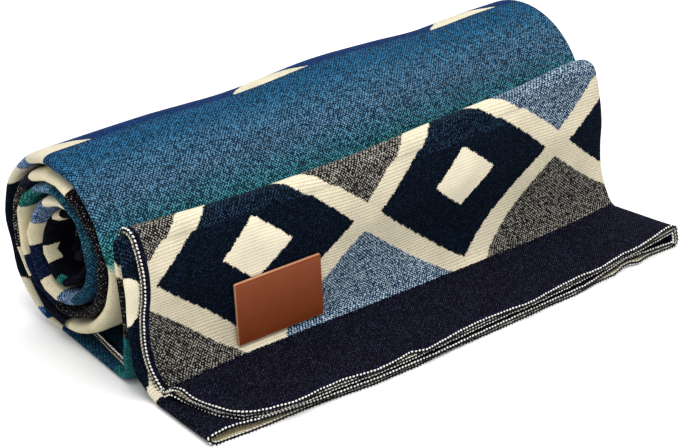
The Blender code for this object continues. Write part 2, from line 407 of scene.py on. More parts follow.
# Bands of the inner turns, each from where it starts
INNER_BANDS = (
    (1.130, "#a0977a", "#d0c6a6", 0.85),
    (1.180, "#0c0d14", "#8a8478", 0.30),
    (1.330, "#0a0c18", "#3c4460", 0.25),
    (1.405, "#aaa184", "#dad0b2", 0.88),
    (1.525, "#08090f", "#8c8678", 0.18),
    (1.990, "#070f22", "#263a68", 0.24),
    (2.157, "#a0977a", "#d0c6a6", 0.85),
    (2.308, "#0a3d3a", "#358578", 0.42),
    (2.380, "#223e55", "#6f93ad", 0.42),
    (2.460, "#0d2735", "#336577", 0.40),
    (2.690, "#0c2636", "#2a5a72", 0.38),
    (2.880, "#1d3558", "#8ba2b8", 0.40),
    (2.950, "#a0977a", "#d0c6a6", 0.85),
    (3.050, "#070f22", "#263a68", 0.24),
    (3.177, "#a0977a", "#d0c6a6", 0.85),
    (3.260, "#1d3558", "#8ba2b8", 0.40),
    (3.398, "#aaa184", "#dad0b2", 0.88),
    # From 3.545 inwards the near-black rows use the core's yarns: painted shade of the deep core
    (3.545, "#06080f", "#20263a", 0.15),
    (3.930, "#0a3d3a", "#358578", 0.42),
    (3.985, "#06080f", "#20263a", 0.15),
    (4.045, "#9d9577", "#c8bf9f", 0.80),
    (4.162, "#06080f", "#20263a", 0.15),
    (4.280, "#aaa184", "#dad0b2", 0.88),
    (4.330, "#06080f", "#20263a", 0.15),
)


def linear(colour):
    """An sRGB hex colour as linear red, green, blue."""
    values = [int(colour[at : at + 2], 16) / 255 for at in (1, 3, 5)]
    return tuple(v / 12.92 if v <= 0.04045 else ((v + 0.055) / 1.055) ** 2.4 for v in values)


def solid_colour(colour):
    return (*linear(colour), 1.0)


def add(tree, kind, inputs=(), **settings):
    """Adds a node with its settings and links, and returns its first live output."""
    node = tree.nodes.new(kind)
    for name, value in settings.items():
        setattr(node, name, value)
    pairs = inputs.items() if isinstance(inputs, dict) else enumerate(inputs)
    for key, value in pairs:
        if isinstance(value, bpy.types.NodeSocket):
            tree.links.new(value, node.inputs[key])
        elif value is not None:
            node.inputs[key].default_value = value
    return next((socket for socket in node.outputs if socket.enabled), None)


def start_material(name):
    made = bpy.data.materials.new(name)
    made.use_nodes = True
    made.node_tree.nodes.clear()
    return made


def smooth(low, high, value):
    share = np.clip((value - low) / (high - low), 0.0, 1.0)
    return share * share * (3 - 2 * share)


def read_line(line, at, column=1):
    """Reads a short table at many places, with a smooth curve that never overshoots."""
    table = np.array(line)
    place, value = table[:, 0], table[:, column]
    step = np.diff(place)
    rise = np.diff(value) / step
    slope = np.concatenate([rise[:1], np.zeros(len(rise) - 1), rise[-1:]])
    same = rise[:-1] * rise[1:] > 0
    slope[1:-1][same] = 2 * rise[:-1][same] * rise[1:][same] / (rise[:-1] + rise[1:])[same]
    at = np.clip(at, place[0], place[-1])
    cell = np.clip(np.searchsorted(place, at) - 1, 0, len(step) - 1)
    share = (at - place[cell]) / step[cell]
    eased = share * share * (3 - 2 * share)
    return (
        value[cell] * (1 - eased)
        + value[cell + 1] * eased
        + share * (1 - share) ** 2 * step[cell] * slope[cell]
        - share**2 * (1 - share) * step[cell] * slope[cell + 1]
    )


def half_stack(layer, cloth):
    return 1.5 * layer + cloth / 2


# The stack's middle line, as in the CAD source but finer


class MiddleLine:
    """Walks along the stack from the hem to the roll's core and keeps a row at each step."""

    def __init__(self, y, z, layer):
        self.y, self.z, self.layer = y, z, layer
        self.heading = 0.0
        self.rows = [(y, z, 0.0, layer, 0.0, 1.0, 1.0)]

    def straight(self, length, steps, layer, hem=(0.0, 0.0), flap=(1.0, 1.0), packed=1.0):
        start_y, start_z, start_layer = self.y, self.z, self.layer
        for step in range(1, steps + 1):
            share = (step / steps) ** packed
            self.y = start_y + length * share * math.cos(self.heading)
            self.z = start_z + length * share * math.sin(self.heading)
            self.keep(start_layer, layer, share, hem, flap)
        self.layer = layer

    def bend(self, radius, degrees, steps, layer):
        start_y, start_z, start, start_layer = self.y, self.z, self.heading, self.layer
        radius = math.copysign(radius, degrees)
        for step in range(1, steps + 1):
            share = step / steps
            self.heading = start + math.radians(degrees) * share
            self.y = start_y + radius * (math.sin(self.heading) - math.sin(start))
            self.z = start_z - radius * (math.cos(self.heading) - math.cos(start))
            self.keep(start_layer, layer, share, (0.0, 0.0), (1.0, 1.0))
        self.layer = layer

    def keep(self, start_layer, end_layer, share, hem, flap):
        layer = start_layer + (end_layer - start_layer) * share
        lying = hem[0] + (hem[1] - hem[0]) * share
        on_flap = flap[0] + (flap[1] - flap[0]) * share
        self.rows.append((self.y, self.z, self.heading, layer, 0.0, lying, on_flap))

    def wind(self, start_radius, places):
        middle_z = self.z + start_radius
        for wound in places:
            angle = 2 * math.pi * wound - math.pi / 2
            radius = start_radius - ROLL_PITCH * wound
            y = ROLL_MIDDLE + radius * math.cos(angle)
            z = middle_z + radius * math.sin(angle)
            self.rows.append((y, z, 0.0, ROLL_LAYER, wound, 0.0, 0.0))


class Stack:
    """The middle line's rows as arrays, with the way across the stack and the length walked."""

    def __init__(self, cloth):
        self.cloth = cloth
        face = FACE_FRONT + half_stack(FACE_LAYER, cloth)
        line = MiddleLine(HEM_FRONT, half_stack(HEM_LAYER, cloth), HEM_LAYER)
        line.straight(face - HEM_BEND - HEM_FRONT, HEM_STEPS, HEM_LAYER, hem=(1.0, 0.0), packed=1.3)
        line.bend(HEM_BEND, 90, CREASE_STEPS, FACE_LAYER)
        fold_height = FLAP_TOP - TOP_BEND - half_stack(ROLL_LAYER, cloth)
        line.straight(fold_height - line.z, FACE_STEPS, FACE_LAYER)
        self.top_row = len(line.rows)
        line.bend(TOP_BEND, -180 - BACK_BULGE, TOP_STEPS, ROLL_LAYER)
        lean = math.radians(BACK_BULGE)
        floor_height = half_stack(ROLL_LAYER, cloth)
        drop = line.z - floor_height - FLOOR_BEND * (1 - math.sin(lean))
        line.bend(drop / (2 * math.sin(lean)), 2 * BACK_BULGE, BACK_STEPS, ROLL_LAYER)
        line.bend(FLOOR_BEND, 90 - BACK_BULGE, FLOOR_STEPS, ROLL_LAYER)
        line.straight(ROLL_MIDDLE - line.y, UNDER_STEPS, ROLL_LAYER, flap=(1.0, 0.0))
        self.roll_row = len(line.rows) - 1
        self.start_radius = (ROLL_HEIGHT + ROLL_PITCH / 2) / 2 - floor_height
        outer = np.arange(1, FIRST_TURN_STEPS + 1) / FIRST_TURN_STEPS
        inner = 1 + np.arange(1, INNER_STEPS + 1) * (ROLL_TURNS - 1) / INNER_STEPS
        line.wind(self.start_radius, np.concatenate([outer, inner]))
        table = np.array(line.rows)
        self.y, self.z, self.heading, self.layer, self.turns, self.hem, self.flap = table.T
        self.lean_forward(face - HEM_BEND)
        along_y, along_z = np.gradient(self.y), np.gradient(self.z)
        length = np.hypot(along_y, along_z)
        self.across_y, self.across_z = -along_z / length, along_y / length
        steps = np.hypot(np.diff(self.y), np.diff(self.z))
        self.walked = np.concatenate([[0.0], np.cumsum(steps)])
        self.roll_start = self.walked[self.roll_row]

    def lean_forward(self, crease):
        """Bends the face of the flap to FOOT_LINE and draws the lying part in to meet it."""
        front = np.arange(len(self.y)) < self.top_row
        upright = front & (self.y > crease + 1e-6)
        lying = front & ~upright
        self.y[lying] -= FOOT_LINE[0][1] * (self.y[lying] - HEM_FRONT) / (crease - HEM_FRONT)
        self.y[upright] -= read_line(FOOT_LINE, self.z[upright])
        # The lean dies out over the top fold.
        over = slice(self.top_row, self.top_row + TOP_STEPS)
        self.y[over] -= FOOT_LINE[-1][1] * (1 - np.arange(1, TOP_STEPS + 1) / TOP_STEPS)

    def walked_at(self, turns):
        """Length along the cloth where that many turns are wound."""
        return self.roll_start + 2 * math.pi * (self.start_radius * turns - ROLL_PITCH * turns**2 / 2)


# Columns across the width: (kind, place in the stack, share), as in the CAD source but finer


def half_circle(steps):
    angles = [math.pi * step / steps for step in range(1, steps)]
    return [(math.cos(angle), math.sin(angle)) for angle in angles]


def stations(near, count):
    """Shares from 0 to 1 over a layer: the given places near the free edge, then even steps."""
    even = np.linspace(near[-1], 1.0, count + 1)[1:]
    return [*near, *even]


def sheet_columns():
    corner = [0.0, 0.0012, 0.0035, 0.0075, 0.0135, 0.021, 0.030, 0.041, 0.054, 0.070, 0.088]
    first = stations(corner, 68)
    second = stations(corner[:3] + corner[4::2], 13)
    fourth = stations([0.0, 0.006, 0.016, 0.030, 0.048], 58)
    third = stations([0.0, 0.006, 0.016, 0.036, 0.07], 8)
    columns = [("layer", 1.5, share) for share in first]
    columns += [("right", 1.5 * cos, 1.5 * sin) for cos, sin in half_circle(13)]
    columns += [("layer", -1.5, share) for share in reversed(fourth)]
    columns += [("left", cos, sin) for cos, sin in half_circle(15)]
    columns += [("layer", -0.5, share) for share in third]
    columns += [("right", -0.5 * cos, 0.5 * sin) for cos, sin in half_circle(8)]
    columns += [("layer", 0.5, share) for share in reversed(second)]
    return columns


class Sides:
    """Where each row's layers begin and end along X, and how its left fold stands out."""

    def __init__(self, stack):
        in_roll = 1 - stack.flap
        drawn_in = smooth(0.0, FLAP_TOP, stack.z)
        out = HEM_RIGHT_OUT * stack.hem - FLAP_DRAWN_IN * drawn_in
        uneven = sum(size * np.sin(waves * stack.turns + phase) for size, waves, phase in UNEVEN_ENDS)
        roll_left = ROLL_LEFT + read_line(END_LINE, stack.turns) + uneven
        self.free_shift = stack.flap * read_line(FLAP_SIDE_LINE, stack.z)
        self.left = stack.flap * FLAP_LEFT + in_roll * roll_left
        right = stack.flap * (FLAP_RIGHT + out) + in_roll * ROLL_RIGHT
        self.right = right - half_stack(stack.layer, stack.cloth)
        self.proud = stack.flap * read_line(FLAP_SIDE_LINE, stack.z, 2) + in_roll * FOLD_PROUD
        roll_swell = ROLL_SWELL + read_line(END_LINE, stack.turns, 2)
        self.swell = stack.flap * FOLD_SWELL + in_roll * roll_swell
        self.inset = EDGE_INSET * in_roll * smooth(*INSET_START, stack.turns)
        # Below the middle of the flap the cloth taken up at the right is let out again.
        self.loose = 2 * FLAP_DRAWN_IN * stack.flap * np.clip(0.5 - drawn_in, 0.0, 1.0)


def column_section(kind, place, share, stack, sides):
    """One column's place along X, its place across the stack, and its distance from a free edge."""
    far = np.full_like(sides.left, FAR)
    if kind == "right":
        return sides.right + share * stack.layer, np.full_like(far, place), far
    if kind == "left":
        x = sides.left - FOLD_START - (sides.proud - FOLD_START) * share
        return x, LAYER_PLACES[3] + sides.swell * (1 - place), far
    free = place > 0
    start = sides.left + sides.free_shift if free else sides.left
    gap = (sides.right - start) * share
    x = start + gap
    across = np.full_like(x, place)
    if free:
        x = x + sides.inset * (1 - smooth(0.0, 0.20, share))
    if place == LAYER_PLACES[1]:
        x = x - stack.flap * SECOND_OUT * (1 - smooth(0.0, 0.25, share))
    if place == LAYER_PLACES[2]:
        back = 0.16 * stack.flap + 0.05 * (1 - stack.flap)
        across = across + (2 * sides.swell - 1) * (1 - smooth(0.0, back, share))
    return x, across, gap if free else far


def hem_reading(line, x, across):
    """Reads a hem table, with a column for each layer, straight between the layers."""
    values = [read_line(line, x, 1 + index) for index in range(len(LAYER_PLACES))]
    found = values[3]
    for upper, lower in ((2, 3), (1, 2), (0, 1)):
        share = (across - LAYER_PLACES[lower]) / (LAYER_PLACES[upper] - LAYER_PLACES[lower])
        found = found + (values[upper] - found) * np.clip(share, 0.0, 1.0)
    return found


def corner_wave(gap, y, stack):
    """The free corner buckles where the flap stands up: a dip in the crease and a low hump in front."""
    near = 1 - smooth(0.0, CORNER_REACH, gap)
    lying = 1 - smooth(*CORNER_HEIGHTS, stack.z)
    waves = sum(high * np.exp(-(((y - place) / wide) ** 2)) for place, wide, high in CORNER_WAVES)
    return near * lying * stack.flap * waves


def shape_flap(x, y, z, across, upright, stack):
    """Skews the flap, stiffens it behind the patch, puffs up the pile, and makes the top fold uneven."""
    to_right = (x - FLAP_LEFT) / (FLAP_RIGHT - FLAP_LEFT)
    y = y - stack.flap * (1 - stack.hem) * smooth(*SKEW_DEPTH, -y) * FLAP_SKEW * to_right
    near_patch = smooth(*PATCH_START, x) * (1 - smooth(*PATCH_END, x))
    y = y - near_patch * upright * (read_line(FOOT_LINE, stack.z, 2) - read_line(FOOT_LINE, stack.z))
    in_pile = stack.flap * (1 - stack.hem**4) * (1 - smooth(*PILE_HEIGHT, z)) * (across + 1.5) / 3
    z = z + in_pile * read_line(PUFF_LINE, x)
    raised = stack.flap * smooth(RIDGE_START, FLAP_TOP, z) * read_line(RIDGE_LINE, x)
    return y, z + raised, raised


def soften_roll(x, y, z, left, stack):
    """The outer turn is a little out of round, and the inner turns sag and crumple at the left end."""
    in_roll = 1 - stack.flap
    angle = 2 * math.pi * stack.turns
    top = smooth(*OUT_OF_ROUND, stack.turns) * (1 - smooth(*ROUND_AGAIN, stack.turns))
    near = (1 - smooth(0.0, CRUMPLE_REACH, x - left)) * in_roll
    core = smooth(*CORE_CRUMPLE, stack.turns)
    shares = (1.0, smooth(*INNER_CRUMPLE, stack.turns), core)
    crumple = sum(
        share * high * np.sin(waves * angle + phase)
        for share, (high, waves, phase) in zip(shares, ROLL_WAVES)
    )
    out = in_roll * top * read_line(ROLL_LINE, x) + near * crumple
    return y - stack.across_y * out + CORE_BACK * near * core, z - stack.across_z * out


def flat_places(x, walked_across, along, sides, stack):
    """Flat coordinates of a column: the lower layers have slipped, and the pattern is pulled a little."""
    slipped = np.clip((walked_across - SLIP_FROM) / SLIP_OVER, 0.0, 1.0)
    along = along + SLIP_ALONG * slipped * stack.flap * (1 - stack.hem)
    hidden = (SLIP_ACROSS - sides.free_shift + sides.loose) * slipped
    pulled_right = stack.flap * smooth(END_BAND, LATTICE_MIDDLE, along) * read_line(PULL_LINE, x, 2)
    pulled_up = stack.flap * smooth(END_BAND, PULL_END, along) * read_line(PULL_LINE, x)
    return np.stack([walked_across - hidden - pulled_right, along - pulled_up], axis=1)


def sheet_points(stack):
    """Places of the cloth's middle surface, its flat coordinates and the distance from its free edges."""
    sides = Sides(stack)
    upright = (np.arange(len(stack.y)) < stack.top_row) * (stack.hem == 0)
    points, flat, edge = [], [], []
    walked_across = np.zeros_like(stack.y)
    before = None
    for kind, place, share in sheet_columns():
        x, across, gap = column_section(kind, place, share, stack, sides)
        if before is not None:
            walked_across = walked_across + np.hypot(x - before[0], (across - before[1]) * stack.layer)
        before = (x, across)

        free = kind == "layer" and place > 0
        offset = across * stack.layer
        y = stack.y + stack.across_y * offset
        z = stack.z + stack.across_z * offset
        shift = hem_reading(HEM_LINE, x, across) - HEM_FRONT
        if free:
            shift = shift + read_line(CORNER_LINE, gap)
        y = y + stack.hem * shift
        z = z + stack.hem**4 * hem_reading(HEM_LIFT, x, across)
        if free:
            z = z + corner_wave(gap, y, stack)
        y, z, raised = shape_flap(x, y, z, across, upright, stack)
        y, z = soften_roll(x, y, z, sides.left, stack)
        points.append(np.stack([x, y, z], axis=1))

        along = stack.walked - stack.flap * offset * stack.heading + stack.hem * shift + raised
        flat.append(flat_places(x, walked_across, along, sides, stack))
        edge.append(gap)
    edge = np.minimum(np.stack(edge, axis=1), stack.walked[:, None])
    return np.stack(points, axis=1), np.stack(flat, axis=1), edge


def mesh_from_grid(name, points, flat, edge):
    """One sheet of quads, its right side on the outside of the folds, with flat metres as its UV map."""
    rows, columns, _ = points.shape
    mesh = bpy.data.meshes.new(name)
    index = np.arange(rows * columns).reshape(rows, columns)
    corners = np.stack([index[:-1, :-1], index[:-1, 1:], index[1:, 1:], index[1:, :-1]], axis=-1)
    mesh.from_pydata((points + TO_FRAME).reshape(-1, 3).tolist(), [], corners.reshape(-1, 4).tolist())
    uv = mesh.uv_layers.new(name="flat_metres")
    loops = np.empty(len(mesh.loops), dtype=np.int32)
    mesh.loops.foreach_get("vertex_index", loops)
    uv.data.foreach_set("uv", flat.reshape(-1, 2)[loops].astype(np.float32).ravel())
    gap = mesh.attributes.new("edge_distance", "FLOAT", "POINT")
    gap.data.foreach_set("value", edge.ravel().astype(np.float32))
    mesh.shade_smooth()
    return mesh


def link(name, mesh):
    made = bpy.data.objects.new(name, mesh)
    bpy.context.scene.collection.objects.link(made)
    return made


def as_plain_mesh(obj, name):
    """Turns an object with modifiers into a plain mesh object of the given name, and removes the first."""
    bpy.context.view_layer.update()
    graph = bpy.context.evaluated_depsgraph_get()
    finished = obj.evaluated_get(graph)
    mesh = bpy.data.meshes.new_from_object(finished, preserve_all_data_layers=True, depsgraph=graph)
    bpy.data.objects.remove(obj)
    mesh.name = name
    return link(name, mesh)


# Materials


def calc(new, operation, *values):
    return new("ShaderNodeMath", values, operation=operation)


def object_place(new):
    return new("ShaderNodeTexCoord").node.outputs["Object"]


def remap(new, value, from_low, from_high, to_low, to_high):
    return new("ShaderNodeMapRange", {0: value, 1: from_low, 2: from_high, 3: to_low, 4: to_high})


def mix_colours(new, share, first, second):
    return new("ShaderNodeMix", {0: share, 6: first, 7: second}, data_type="RGBA")


def noise(new, place, scale, detail=2.0):
    return new("ShaderNodeTexNoise", {"Vector": place, "Scale": scale, "Detail": detail})


def finish_material(new, settings):
    shader = new("ShaderNodeBsdfPrincipled", settings)
    new("ShaderNodeOutputMaterial", (shader,))


def between(new, value, low, high):
    """1 where the value lies between two limits."""
    over = calc(new, "GREATER_THAN", value, low)
    return both(new, over, calc(new, "LESS_THAN", value, high))


def both(new, first, second):
    return calc(new, "MULTIPLY", first, second)


def nearest(new, across, along, first, middle):
    """Place counted from the first diamond, and the distances from the nearest diamond's middle."""
    from_first = calc(new, "ADD", across, WHOLE_PERIODS * DIAMOND_PERIOD - first)
    aside = calc(new, "PINGPONG", from_first, DIAMOND_PERIOD / 2)
    above = calc(new, "SUBTRACT", along, middle)
    return from_first, aside, above, calc(new, "ABSOLUTE", above)


def in_diamonds(new, aside, away, half_across, half_along):
    """Distance from a diamond's middle in half diamonds: 1 on its edge."""
    part = calc(new, "MULTIPLY", aside, 1 / half_across)
    return calc(new, "MULTIPLY_ADD", away, 1 / half_along, part)


def knit_in(new, yarns, where, pair):
    """Knits another pair of yarns in where the mask is 1."""
    dark, light, share = YARNS[pair]
    return (
        mix_colours(new, where, yarns[0], solid_colour(dark)),
        mix_colours(new, where, yarns[1], solid_colour(light)),
        new("ShaderNodeMix", {0: where, 2: yarns[2], 3: share}, data_type="FLOAT"),
    )


def band_ramps(new, place, stack, bands, interpolation):
    """The yarns of a table of bands, by the share of the whole length along the cloth."""
    found = []
    for column in (1, 2, 3):
        output = new("ShaderNodeValToRGB", (place,))
        ramp = output.node.color_ramp
        ramp.interpolation = interpolation
        ramp.elements.remove(ramp.elements[1])
        for number, row in enumerate(bands):
            stop = ramp.elements[0] if number == 0 else ramp.elements.new(1.0)
            stop.position = stack.walked_at(row[0]) / stack.walked[-1]
            stop.color = (row[3],) * 3 + (1.0,) if column == 3 else solid_colour(row[column])
        found.append(output)
    return found


def roll_yarns(new, stack, across, along):
    """The yarns of the roll's bands, the painted shade of its core, and the cloth behind the flap and under
    the roll.
    """
    place = calc(new, "DIVIDE", along, stack.walked[-1])
    outer = band_ramps(new, place, stack, OUTER_BANDS, "LINEAR")
    inner = band_ramps(new, place, stack, INNER_BANDS, "CONSTANT")
    is_inner = calc(new, "GREATER_THAN", along, stack.walked_at(INNER_BANDS[0][0]))
    yarns = [mix_colours(new, is_inner, *pair) for pair in zip(outer, inner)]
    yarns[2] = new("ShaderNodeRGBToBW", (yarns[2],))
    # Painted shade: in the core the cloth is near-black, but for a strip across it where the bands still
    # show.
    in_core = calc(new, "GREATER_THAN", along, stack.walked_at(CORE_TURNS))
    shaded_core = calc(new, "GREATER_THAN", in_core, between(new, across, *CORE_LIGHT))
    yarns = knit_in(new, yarns, shaded_core, "core_painted_shade")
    fold = stack.roll_start - BACK_FOLD
    teal_end = fold + TEAL_BAND
    yarns = knit_in(new, yarns, calc(new, "LESS_THAN", along, fold), "flap_back")
    yarns = knit_in(new, yarns, between(new, along, fold, teal_end), "back_teal")
    return knit_in(new, yarns, between(new, along, teal_end, stack.walked_at(UNDER_END)), "under_roll")


def second_lattice(new, yarns, stack, across, along):
    """On the back of the roll: a cream lattice round navy diamonds on two blues, edged with triangles."""
    middle = stack.walked_at(SECOND_MIDDLE)
    first = SECOND_CROSSING + DIAMOND_PERIOD / 2
    _, aside, above, away = nearest(new, across, along, first, middle)
    out = in_diamonds(new, aside, away, DIAMOND_ACROSS, SECOND_ALONG)
    field = calc(new, "LESS_THAN", away, SECOND_REACH)
    lower = both(new, field, calc(new, "LESS_THAN", above, 0.0))
    lattice = both(new, field, calc(new, "LESS_THAN", out, SECOND_LATTICE_OUT))
    diamond = both(new, field, calc(new, "LESS_THAN", out, 1.0))
    yarns = knit_in(new, yarns, calc(new, "LESS_THAN", away, BORDER_REACH), "border")
    yarns = knit_in(new, yarns, field, "back_blue")
    yarns = knit_in(new, yarns, lower, "back_dark_blue")
    yarns = knit_in(new, yarns, lattice, "back_cream")
    yarns = knit_in(new, yarns, diamond, "back_navy")
    height = calc(new, "SUBTRACT", BORDER_REACH, away)
    half_base = calc(new, "MULTIPLY_ADD", height, -TRIANGLE_SLANT, TRIANGLE_HALF)
    from_first = calc(new, "ADD", across, WHOLE_PERIODS * DIAMOND_PERIOD - TRIANGLE_FIRST)
    beside = calc(new, "PINGPONG", from_first, DIAMOND_PERIOD / 2)
    triangle = calc(new, "LESS_THAN", beside, half_base)
    border = between(new, away, SECOND_REACH - TRIANGLE_BELOW, BORDER_REACH)
    return knit_in(new, yarns, both(new, triangle, border), "triangle_cream")


def first_lattice(new, yarns, across, along):
    """On the flap: a cream lattice round navy diamonds, each with a cream square, on grey and two blues."""
    from_first, aside, above, away = nearest(new, across, along, DIAMOND_FIRST, LATTICE_MIDDLE)
    out = in_diamonds(new, aside, away, DIAMOND_ACROSS, DIAMOND_ALONG)
    square_out = in_diamonds(new, aside, away, SQUARE_ACROSS, SQUARE_ALONG)
    field = between(new, along, END_BAND, LATTICE_END)
    upper = both(new, field, calc(new, "GREATER_THAN", above, 0.0))
    lower = both(new, field, calc(new, "LESS_THAN", above, 0.0))
    lattice = both(new, field, calc(new, "LESS_THAN", out, LATTICE_OUT))
    diamond = both(new, field, calc(new, "LESS_THAN", out, 1.0))
    top = both(new, diamond, calc(new, "GREATER_THAN", along, TOP_MARL))
    square = both(new, field, calc(new, "LESS_THAN", square_out, 1.0))
    # Every third cell is knitted in blue, above or below the diamonds.
    number = calc(new, "FLOOR", calc(new, "DIVIDE", from_first, DIAMOND_PERIOD))
    third = calc(new, "MODULO", number, 3.0)
    yarns = knit_in(new, yarns, field, "grey")
    yarns = knit_in(new, yarns, both(new, lower, between(new, third, 1.5, 2.5)), "blue")
    yarns = knit_in(new, yarns, both(new, upper, between(new, third, -0.5, 0.5)), "slate")
    yarns = knit_in(new, yarns, lattice, "cream")
    yarns = knit_in(new, yarns, diamond, "navy")
    yarns = knit_in(new, yarns, top, "navy_at_top")
    yarns = knit_in(new, yarns, square, "square_cream")
    return yarns, calc(new, "SUBTRACT", field, square)


def knit_surface(new, across, along, yarns, marled_share, ribbed):
    """Colour and relief of the knit, from the two yarns and where it is marled and ribbed, with painted
    shade in the grooves between courses.
    """
    dark, light, share = yarns
    place = new("ShaderNodeCombineXYZ", (across, along, 0.0))
    # The two yarns alternate like bird's eyes, with many slips.
    cells = new("ShaderNodeVectorMath", (place, SECOND_YARN), operation="SNAP")
    random = new("ShaderNodeTexWhiteNoise", (cells,), noise_dimensions="3D")
    waves = []
    for way, pitch in zip((across, along), BIRDS_EYE):
        turned = calc(new, "MULTIPLY", way, 2 * math.pi / pitch)
        waves.append(calc(new, "SINE", turned))
    eyes = calc(new, "MULTIPLY_ADD", both(new, *waves), 0.27, 0.27)
    slips = calc(new, "MULTIPLY_ADD", random, 0.46, eyes)
    factor = remap(new, calc(new, "ADD", slips, share), 0.92, 1.08, 0.0, 1.0)
    colour = mix_colours(new, factor, dark, light)

    # Painted shade: a thin dark line in the groove between the rows of stitches, deeper where ribbed;
    # single stitches are flecked.
    course = calc(new, "PINGPONG", along, COURSE / 2)
    depth = calc(new, "MULTIPLY_ADD", ribbed, -0.22, 0.88)
    line = remap(new, course, 0.0, COURSE_LINE, depth, 1.0)
    cloud = remap(new, noise(new, place, 38.0, 3.0), 0.3, 0.7, 0.90, 1.08)
    second = new("ShaderNodeSeparateColor", (random.node.outputs["Color"],)).node.outputs["Green"]
    marled = calc(new, "LESS_THAN", marled_share, 0.6)
    fleck = remap(new, both(new, second, marled), 0.90, 0.93, 1.0, 1.4)
    shade = both(new, both(new, line, cloud), fleck)
    colour = new("ShaderNodeVectorMath", {0: colour, "Scale": shade}, operation="SCALE")

    relief = calc(new, "MULTIPLY_ADD", course, 500.0, noise(new, place, 900.0))
    relief = calc(new, "MULTIPLY_ADD", factor, 0.5, relief)
    return colour, new("ShaderNodeBump", {"Strength": 0.55, "Distance": 0.0005, "Height": relief})


def wool_material(name, stack, reverse=False):
    """Merino jacquard knit, brushed: matt and soft, its colours broken up by the second yarn."""
    made = start_material(name)
    new = functools.partial(add, made.node_tree)
    uv = new("ShaderNodeUVMap", uv_map="flat_metres")
    flat = new("ShaderNodeSeparateXYZ", (uv,)).node.outputs
    # Each stitch has one colour and the wool is hairy: the pattern's edges are stepped and a little frayed.
    hair_cells = new("ShaderNodeVectorMath", (uv, (HAIR, HAIR, 1.0)), operation="SNAP")
    hairs = new("ShaderNodeTexWhiteNoise", (hair_cells,), noise_dimensions="3D").node.outputs["Color"]
    frayed = new("ShaderNodeVectorMath", (hairs, (FRAYED, FRAYED, 0.0), uv), operation="MULTIPLY_ADD")
    frayed = new("ShaderNodeSeparateXYZ", (frayed,)).node.outputs
    across = calc(new, "SNAP", frayed["X"], STITCH_WIDE)
    along = calc(new, "SNAP", frayed["Y"], STITCH_TALL)

    yarns = roll_yarns(new, stack, across, along)
    yarns = second_lattice(new, yarns, stack, across, along)
    yarns, ribbed = first_lattice(new, yarns, across, along)
    yarns = knit_in(new, yarns, calc(new, "LESS_THAN", along, END_BAND), "end_band")
    distance = new("ShaderNodeAttribute", attribute_name="edge_distance").node.outputs["Fac"]
    yarns = knit_in(new, yarns, calc(new, "LESS_THAN", distance, EDGE_BAND), "edge")
    marled_share = yarns[2]
    if reverse:
        # The other face shows the two yarns the other way round.
        pale = calc(new, "GREATER_THAN", new("ShaderNodeRGBToBW", (yarns[0],)), 0.25)
        cream, navy = YARNS["reverse_cream"], YARNS["navy"]
        swapped = [mix_colours(new, pale, solid_colour(cream[i]), solid_colour(navy[i])) for i in (0, 1)]
        yarns = (*swapped, cream[2])
    colour, bump = knit_surface(new, flat["X"], flat["Y"], yarns, marled_share, ribbed)
    finish_material(new, {
        "Base Color": colour, "Roughness": 0.95, "Specular IOR Level": 0.05,
        "Sheen Weight": 0.006, "Sheen Roughness": 0.45, "Normal": bump,
    })
    return made


def thread_material(name, colour):
    """Spun polyester overlock thread: nearly matt and twisted, so its tone changes along it."""
    made = start_material(name)
    new = functools.partial(add, made.node_tree)
    place = object_place(new)
    tone = remap(new, noise(new, place, 700.0), 0.3, 0.7, 0.80, 1.05)
    base = new("ShaderNodeVectorMath", {0: linear(colour), "Scale": tone}, operation="SCALE")
    finish_material(new, {"Base Color": base, "Roughness": 0.6, "Specular IOR Level": 0.12})
    return made


def leather_material():
    """Vegetable-tanned saddle leather, pressed and waxed: a soft gloss over a fine pebbled grain."""
    made = start_material("saddle_leather")
    new = functools.partial(add, made.node_tree)
    place = object_place(new)
    height = new("ShaderNodeSeparateXYZ", (place,)).node.outputs["Z"]
    upwards = remap(new, height, *PATCH_HEIGHTS, 0.0, 1.0)
    clouded = calc(new, "MULTIPLY_ADD", noise(new, place, 60.0, 4.0), 0.6, upwards)
    tone = remap(new, clouded, 0.25, 1.25, 0.0, 1.0)
    base = mix_colours(new, tone, solid_colour("#6f2d06"), solid_colour("#843e18"))
    grain = new("ShaderNodeTexVoronoi", {"Vector": place, "Scale": 1300.0}, feature="SMOOTH_F1")
    pores = noise(new, place, 420.0, 3.0)
    relief = calc(new, "ADD", grain, pores)
    bump = new("ShaderNodeBump", {"Strength": 0.35, "Distance": 0.0003, "Height": relief})
    rough = remap(new, pores, 0.3, 0.7, 0.38, 0.56)
    finish_material(new, {
        "Base Color": base, "Roughness": rough, "Specular IOR Level": 0.3, "Normal": bump,
    })
    return made


def cut_edge_material():
    """Cut edge of the same leather: pale, matt and fibrous."""
    made = start_material("saddle_leather_cut_edge")
    new = functools.partial(add, made.node_tree)
    place = object_place(new)
    fibre = noise(new, place, 900.0, 3.0)
    base = mix_colours(new, fibre, solid_colour("#9a5a36"), solid_colour("#dba683"))
    finish_material(new, {"Base Color": base, "Roughness": 0.75})
    return made


# Overlock stitches


